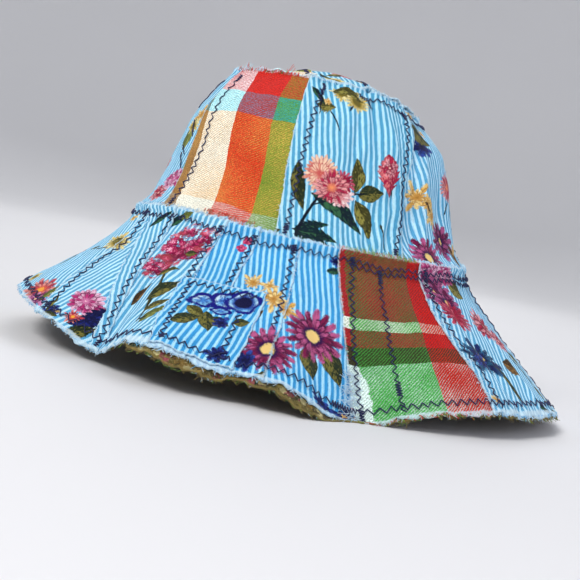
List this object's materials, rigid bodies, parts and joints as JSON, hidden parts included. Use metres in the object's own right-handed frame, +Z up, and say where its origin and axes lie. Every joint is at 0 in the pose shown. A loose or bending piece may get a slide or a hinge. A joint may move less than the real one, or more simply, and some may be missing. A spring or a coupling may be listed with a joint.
{
  "type": "patchwork hat",
  "caption": "Soft cloth bucket hat with a domed crown and a wide wavy brim, sewn from striped, floral and checked patches, hollow below for a head.",
  "frame": {"origin": "under the middle of the hat's outline, on the surface that it rests on", "axes": "-Y towards the front of the hat, +X towards the wearer's left, +Z up through the crown"},
  "size_m": [0.3076, 0.3336, 0.1839],
  "materials": {
    "floral_ticking": "soft cotton with pale and sky-blue stripes and printed flowers, worn matt",
    "plain_ticking": "soft cotton with pale and sky-blue stripes, worn matt",
    "orange_madras": "brushed cotton twill checked in orange, cream, olive, red and blue",
    "brown_madras": "brushed cotton twill checked in brown, red and light green",
    "dark_print": "soft cotton with a crowded olive and brown leaf print, raw edge"
  },
  "bodies": {
    "root": {"crown_front_patch": "floral_ticking", "crown_madras_patch": "orange_madras", "crown_mum_patch": "floral_ticking", "crown_back_patch": "floral_ticking", "crown_nape_patch": "plain_ticking", "crown_far_back_patch": "floral_ticking", "crown_far_madras_patch": "orange_madras", "crown_far_front_patch": "plain_ticking", "top_front_patch": "orange_madras", "top_middle_patch": "floral_ticking", "top_back_patch": "plain_ticking", "brim_front_patch": "floral_ticking", "brim_chevron_patch": "floral_ticking", "brim_wedge_patch": "plain_ticking", "brim_hydrangea_patch": "floral_ticking", "brim_bud_patch": "floral_ticking", "brim_blossom_patch": "floral_ticking", "brim_aster_patch": "floral_ticking", "brim_madras_patch": "brown_madras", "brim_back_patch": "floral_ticking", "brim_nape_patch": "plain_ticking", "brim_nape_madras_patch": "brown_madras", "brim_far_back_patch": "floral_ticking", "brim_far_ticking_patch": "plain_ticking", "brim_far_madras_patch": "brown_madras", "brim_far_floral_patch": "floral_ticking", "brim_far_front_patch": "plain_ticking", "pansy_patch": "floral_ticking", "facing_front": "dark_print", "facing_near_front": "dark_print", "facing_near": "dark_print", "facing_back": "dark_print", "facing_far_back": "dark_print", "facing_far_front": "dark_print"}
  },
  "joints": []
}
